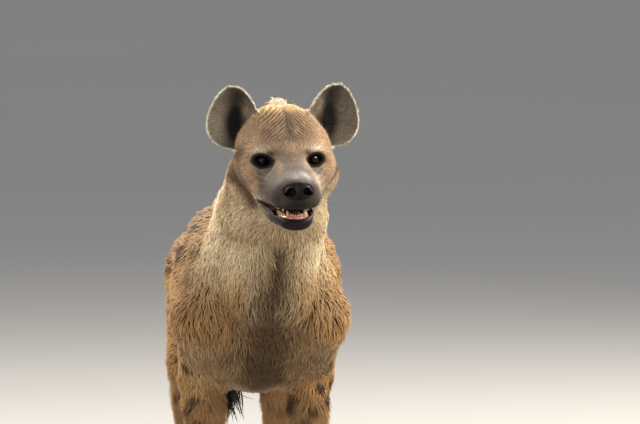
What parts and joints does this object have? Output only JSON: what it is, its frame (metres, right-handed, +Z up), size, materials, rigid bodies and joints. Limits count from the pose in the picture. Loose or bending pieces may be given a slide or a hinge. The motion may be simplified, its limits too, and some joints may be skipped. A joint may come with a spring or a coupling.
{
  "type": "spotted hyena",
  "caption": "Life-size standing spotted hyena, head raised and turned a little, rounded ears forward, mouth slightly open, tail hanging.",
  "frame": {"origin": "middle of the model's footprint, on the floor that the four feet stand on", "axes": "+Z up, the animal faces -Y, its own left side is +X"},
  "size_m": [0.358, 1.2361, 1.0399],
  "materials": {
    "coat": "coarse ginger-tan fur with dark brown spots, darker muzzle, feet and tail end",
    "nose_skin": "black, moist, finely pebbled",
    "eye": "very dark brown, wet gloss",
    "teeth": "ivory, satin, in pink-brown gum",
    "tongue": "moist, fine-grained",
    "horn": "worn dark horn"
  },
  "bodies": {
    "root": {"leg_front_left_upper_arm": "coat", "leg_front_left_forearm": "coat", "leg_front_right_upper_arm": "coat", "leg_front_right_forearm": "coat", "leg_hind_left_thigh": "coat", "leg_hind_left_shank": "coat", "leg_hind_right_thigh": "coat", "leg_hind_right_shank": "coat", "neck": "coat", "thorax": "coat", "abdomen": "coat", "tail": "coat", "leg_front_left_paw": "coat", "claw_front_left_1": "horn", "claw_front_left_2": "horn", "claw_front_left_3": "horn", "claw_front_left_4": "horn", "leg_front_right_paw": "coat", "claw_front_right_1": "horn", "claw_front_right_2": "horn", "claw_front_right_3": "horn", "claw_front_right_4": "horn", "leg_hind_left_foot": "coat", "claw_hind_left_1": "horn", "claw_hind_left_2": "horn", "claw_hind_left_3": "horn", "claw_hind_left_4": "horn", "leg_hind_right_foot": "coat", "claw_hind_right_1": "horn", "claw_hind_right_2": "horn", "claw_hind_right_3": "horn", "claw_hind_right_4": "horn", "eye_right": "eye", "eye_left": "eye", "nose": "nose_skin", "lower_teeth": "teeth", "upper_teeth": "teeth", "tongue": "tongue", "lower_jaw": "coat", "head": "coat", "ear_right": "coat", "ear_left": "coat"}
  },
  "joints": []
}
